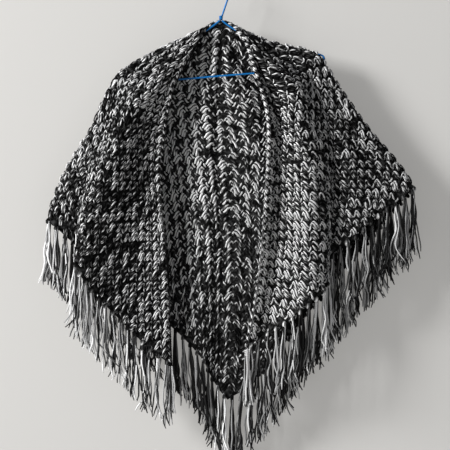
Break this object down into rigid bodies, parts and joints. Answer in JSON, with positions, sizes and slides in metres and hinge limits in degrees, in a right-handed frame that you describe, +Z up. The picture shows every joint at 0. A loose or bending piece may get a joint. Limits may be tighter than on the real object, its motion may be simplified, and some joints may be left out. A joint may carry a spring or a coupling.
{
  "type": "crochet shawl on a wire hanger",
  "caption": "Chunky marled crochet triangle shawl with a long yarn fringe, hung open-fronted on a thin wire hanger.",
  "frame": {"origin": "top of the inside of the hanger's hook, where a rail or nail carries it", "axes": "+X to the right of a person facing the shawl's open front, +Y towards the wall behind it, +Z up"},
  "size_m": [0.7774, 0.0917, 1.0134],
  "materials": {
    "crochet": "chunky crochet in marled black, grey and white yarn",
    "fringe": "loose black, grey and white yarn ends",
    "wire": "thin wire with a smooth blue plastic coat"
  },
  "bodies": {
    "root": {"back_panel": "crochet", "front_left": "crochet", "front_right": "crochet", "fringe_front_left": "fringe", "fringe_front_right": "fringe", "fringe_back_left": "fringe", "fringe_back_right": "fringe", "tassel_front_right": "fringe", "hanger_shoulder_left": "wire", "hanger_shoulder_right": "wire", "hanger_bar": "wire", "hanger_hook": "wire"}
  },
  "joints": []
}
